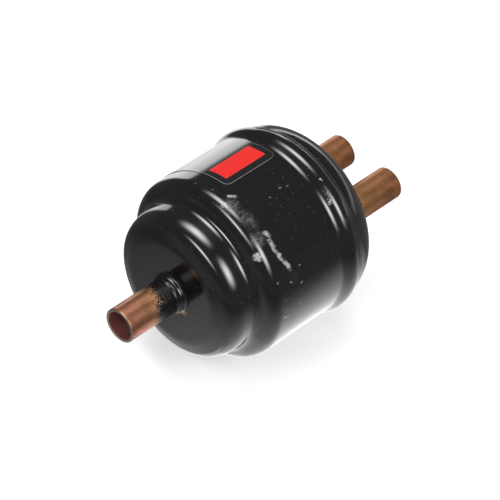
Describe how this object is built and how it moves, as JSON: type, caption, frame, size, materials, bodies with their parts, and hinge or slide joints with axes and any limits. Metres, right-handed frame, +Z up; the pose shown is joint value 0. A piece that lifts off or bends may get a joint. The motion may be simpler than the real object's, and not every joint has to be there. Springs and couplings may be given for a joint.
{
  "type": "filter drier",
  "caption": "Hermetic solid-core filter drier: black pressed shell, a solder tube at the front and a pair of solder tubes at the rear.",
  "frame": {"origin": "centre of the front tube's mouth", "axes": "+X along the drier's axis from the front tube to the rear tubes, +Y from the axis towards the left rear tube, +Z up"},
  "size_m": [0.1423, 0.085, 0.085],
  "materials": {
    "black_enamel": "gloss baked enamel on drawn steel",
    "copper_plated_steel": "copper plated tube, heat tinted",
    "copper": "drawn copper tube, aged brown",
    "braze_filler": "silver braze filler",
    "zinc_plated_steel": "pressed sheet, bright zinc",
    "spring_steel": "drawn spring wire",
    "polyester_mat": "needled fibre mat",
    "wool_felt": "pressed felt ring",
    "moulded_desiccant": "moulded and baked, matt",
    "label_film": "printed black film"
  },
  "bodies": {
    "root": {"front_shell": "black_enamel", "rear_cover": "black_enamel", "seam_weld": "black_enamel", "front_tube": "copper_plated_steel", "rear_tube_left": "copper", "rear_tube_right": "copper", "front_braze_ring": "braze_filler", "rear_braze_ring_left": "braze_filler", "rear_braze_ring_right": "braze_filler", "perforated_plate": "zinc_plated_steel", "spring_plate": "zinc_plated_steel", "conical_spring": "spring_steel", "filter_mat": "polyester_mat", "core_seal": "wool_felt", "desiccant_core": "moulded_desiccant", "label": "label_film"}
  },
  "joints": []
}
